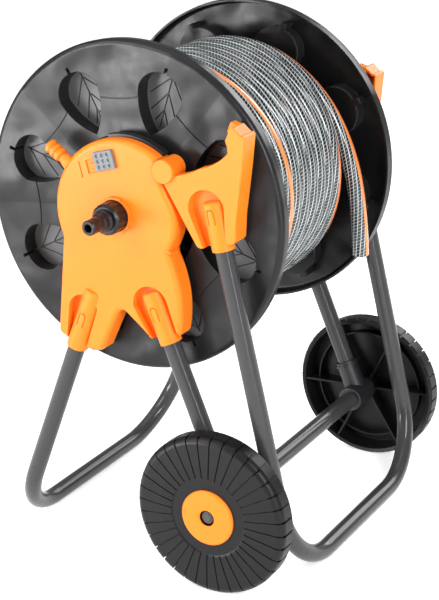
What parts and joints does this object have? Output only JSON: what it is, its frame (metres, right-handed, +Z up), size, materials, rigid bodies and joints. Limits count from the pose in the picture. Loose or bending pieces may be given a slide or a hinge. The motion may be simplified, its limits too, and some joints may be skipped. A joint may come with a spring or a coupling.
{
  "type": "garden hose reel cart",
  "caption": "Two-wheeled garden hose reel cart with a wound hose between leaf-patterned flanges, tube legs, a fold-down U handle and a side crank.",
  "frame": {"origin": "on the ground under the middle of the cart's box, measured without the hose", "axes": "X runs fore and aft with the wheels and folded handle at +X, Y is along the reel axis with the water inlet at -Y and the crank at +Y, Z is up"},
  "size_m": [0.3981, 0.456, 0.5968],
  "materials": {
    "bracket_orange": "satin moulded orange plastic",
    "hub_cap_orange": "satin moulded orange plastic",
    "tube_grey": "semi-gloss dark grey paint",
    "tee_black": "fine-grained black plastic",
    "wheel_black": "fine-grained black plastic",
    "flange_grey": "satin dark grey plastic",
    "drum_black": "satin black plastic",
    "inlet_black": "satin black plastic",
    "crank_black": "satin black plastic",
    "knob_orange": "satin moulded orange plastic",
    "slider_grey": "fine-grained light grey plastic",
    "lock_black": "satin black plastic",
    "zinc_steel": "bright zinc-plated steel",
    "seal_rubber": "smooth black rubber",
    "hose_pvc": "clear-coated braided garden hose, white and teal grey with an orange stripe",
    "axle_dark": "black-oxide steel"
  },
  "bodies": {
    "frame": {"side_bracket_near": "bracket_orange", "side_bracket_far": "bracket_orange", "front_stand": "tube_grey", "rear_leg_near": "tube_grey", "rear_leg_far": "tube_grey", "axle_tee_near": "tee_black", "axle_tee_far": "tee_black", "axle_tube": "tube_grey", "axle_rod": "axle_dark", "axle_nuts": "axle_dark", "axle_washers": "zinc_steel", "inlet_connector": "inlet_black", "inlet_nut": "inlet_black", "inlet_seal": "seal_rubber"},
    "reel": {"flange_near": "flange_grey", "flange_far": "flange_grey", "drum_core": "drum_black", "hub_near": "drum_black", "hub_far": "drum_black", "outlet_elbow": "inlet_black", "hose_clamp": "inlet_black", "hose_coil": "hose_pvc", "hose_tail": "hose_pvc", "crank_arm": "crank_black", "crank_screw": "zinc_steel", "knob_pin": "zinc_steel"},
    "knob": {"crank_knob": "knob_orange"},
    "wheel_left": {"wheel_near": "wheel_black", "hub_cap_near": "hub_cap_orange"},
    "wheel_right": {"wheel_far": "wheel_black", "hub_cap_far": "hub_cap_orange"},
    "handle": {"wing_near": "bracket_orange", "wing_far": "bracket_orange", "handle_tube": "tube_grey", "handle_pins": "zinc_steel"},
    "lock_left": {"lock_bar_near": "lock_black", "lock_slider_near": "slider_grey"},
    "lock_right": {"lock_bar_far": "lock_black", "lock_slider_far": "slider_grey"}
  },
  "joints": [
    {"name": "reel_spin", "type": "hinge", "parent": "frame", "child": "reel", "pos_m": [-0.0075, 0, 0.409], "axis": [0, 1, 0], "continuous": true},
    {"name": "knob_spin", "type": "hinge", "parent": "reel", "child": "knob", "pos_m": [-0.10617, 0.209, 0.37309], "axis": [0, 1, 0], "continuous": true},
    {"name": "wheel_near_spin", "type": "hinge", "parent": "frame", "child": "wheel_left", "pos_m": [0.108, -0.201, 0.091], "axis": [0, 1, 0], "continuous": true},
    {"name": "wheel_far_spin", "type": "hinge", "parent": "frame", "child": "wheel_right", "pos_m": [0.108, 0.201, 0.091], "axis": [0, 1, 0], "continuous": true},
    {"name": "handle_fold", "type": "hinge", "parent": "frame", "child": "handle", "pos_m": [0.0577, 0, 0.4628], "axis": [0, -1, 0], "range_deg": [0, 134]},
    {"name": "lock_near_slide", "type": "hinge", "parent": "frame", "child": "lock_left", "pos_m": [-0.0025, -0.166, 0.409], "axis": [0, -1, 0], "range_deg": [0, 8]},
    {"name": "lock_far_slide", "type": "hinge", "parent": "frame", "child": "lock_right", "pos_m": [-0.0025, 0.166, 0.409], "axis": [0, -1, 0], "range_deg": [0, 8]}
  ]
}
